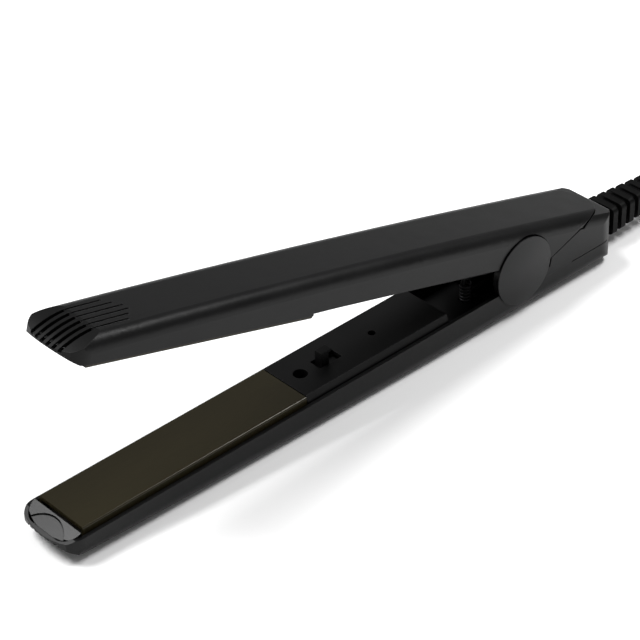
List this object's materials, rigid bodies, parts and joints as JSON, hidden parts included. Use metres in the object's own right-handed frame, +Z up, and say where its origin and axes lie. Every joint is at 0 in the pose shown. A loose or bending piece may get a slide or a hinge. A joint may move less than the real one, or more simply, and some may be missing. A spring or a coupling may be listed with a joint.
{
  "type": "flat iron",
  "caption": "Hair flat iron with two hinged arms, floating heating plates, a sliding lock inside the arms, an opening spring and a mains cord with plug.",
  "frame": {"origin": "centre of the flat on the lower arm's underside that the iron rests on", "axes": "+X along the lower arm from the nose towards the cord, +Y across the arms towards the far hinge cap, +Z up from the rest flat"},
  "size_m": [0.4919, 0.0602, 0.0838],
  "materials": {
    "shell": "satin",
    "panel": "matte",
    "nose": "gloss",
    "cap": "satin",
    "plate": "gloss",
    "carrier": "matte",
    "ceramic": "matte",
    "steel": "satin",
    "silicone": "matte",
    "board": "satin",
    "component": "satin",
    "wire": "matte",
    "rubber": "matte",
    "brass": "satin"
  },
  "bodies": {
    "lower_arm": {"lower_housing": "shell", "lower_panel": "panel", "lower_nose": "nose", "tail_cover": "shell", "hinge_pin": "steel", "hinge_cap_near": "cap", "hinge_cap_far": "cap", "lower_cushions": "silicone", "lower_screws": "steel", "circuit_board": "board", "board_parts": "component", "thermal_fuse": "steel", "lower_leads": "wire", "cord_clamp": "component", "clamp_screws": "steel", "inner_cord": "rubber", "strain_relief": "rubber", "lock_guide": "component", "spring": "steel", "cord_lead": "rubber", "cord_hank": "rubber", "cord_tail": "rubber", "cord_tie": "rubber", "plug_body": "rubber", "plug_pins": "brass"},
    "lower_plate_set": {"lower_plate": "plate", "lower_carrier": "carrier", "lower_heater": "ceramic", "lower_clip": "steel"},
    "upper_arm": {"upper_housing": "shell", "upper_panel": "panel", "upper_nose": "nose", "hinge_bushes": "component", "upper_cushions": "silicone", "lock_catch": "steel", "upper_screws": "steel", "upper_leads": "wire"},
    "upper_plate_set": {"upper_plate": "plate", "upper_carrier": "carrier", "upper_heater": "ceramic", "upper_clip": "steel"},
    "lock": {"lock_slider": "panel"}
  },
  "joints": [
    {"name": "hinge", "type": "hinge", "parent": "lower_arm", "child": "upper_arm", "pos_m": [0.0896, 0, 0.0195], "axis": [0, -1, 0], "range_deg": [0, 17], "stiffness_Nm_per_rad": 0.3, "springref_deg": -34.38, "deforming": ["spring"]},
    {"name": "lower_plate_float", "type": "slide", "parent": "lower_arm", "child": "lower_plate_set", "axis": [0.0185, 0, -0.9998], "range_m": [0, 0.0008], "stiffness_N_per_m": 3000, "springref_m": -0.001, "deforming": ["lower_cushions"]},
    {"name": "upper_plate_float", "type": "slide", "parent": "upper_arm", "child": "upper_plate_set", "axis": [0.2746, 0, 0.9615], "range_m": [0, 0.0008], "stiffness_N_per_m": 3000, "springref_m": -0.001, "deforming": ["upper_cushions"]},
    {"name": "lock_slide", "type": "slide", "parent": "lower_arm", "child": "lock", "axis": [0.9998, 0, 0.0185], "range_m": [0, 0.004]}
  ]
}
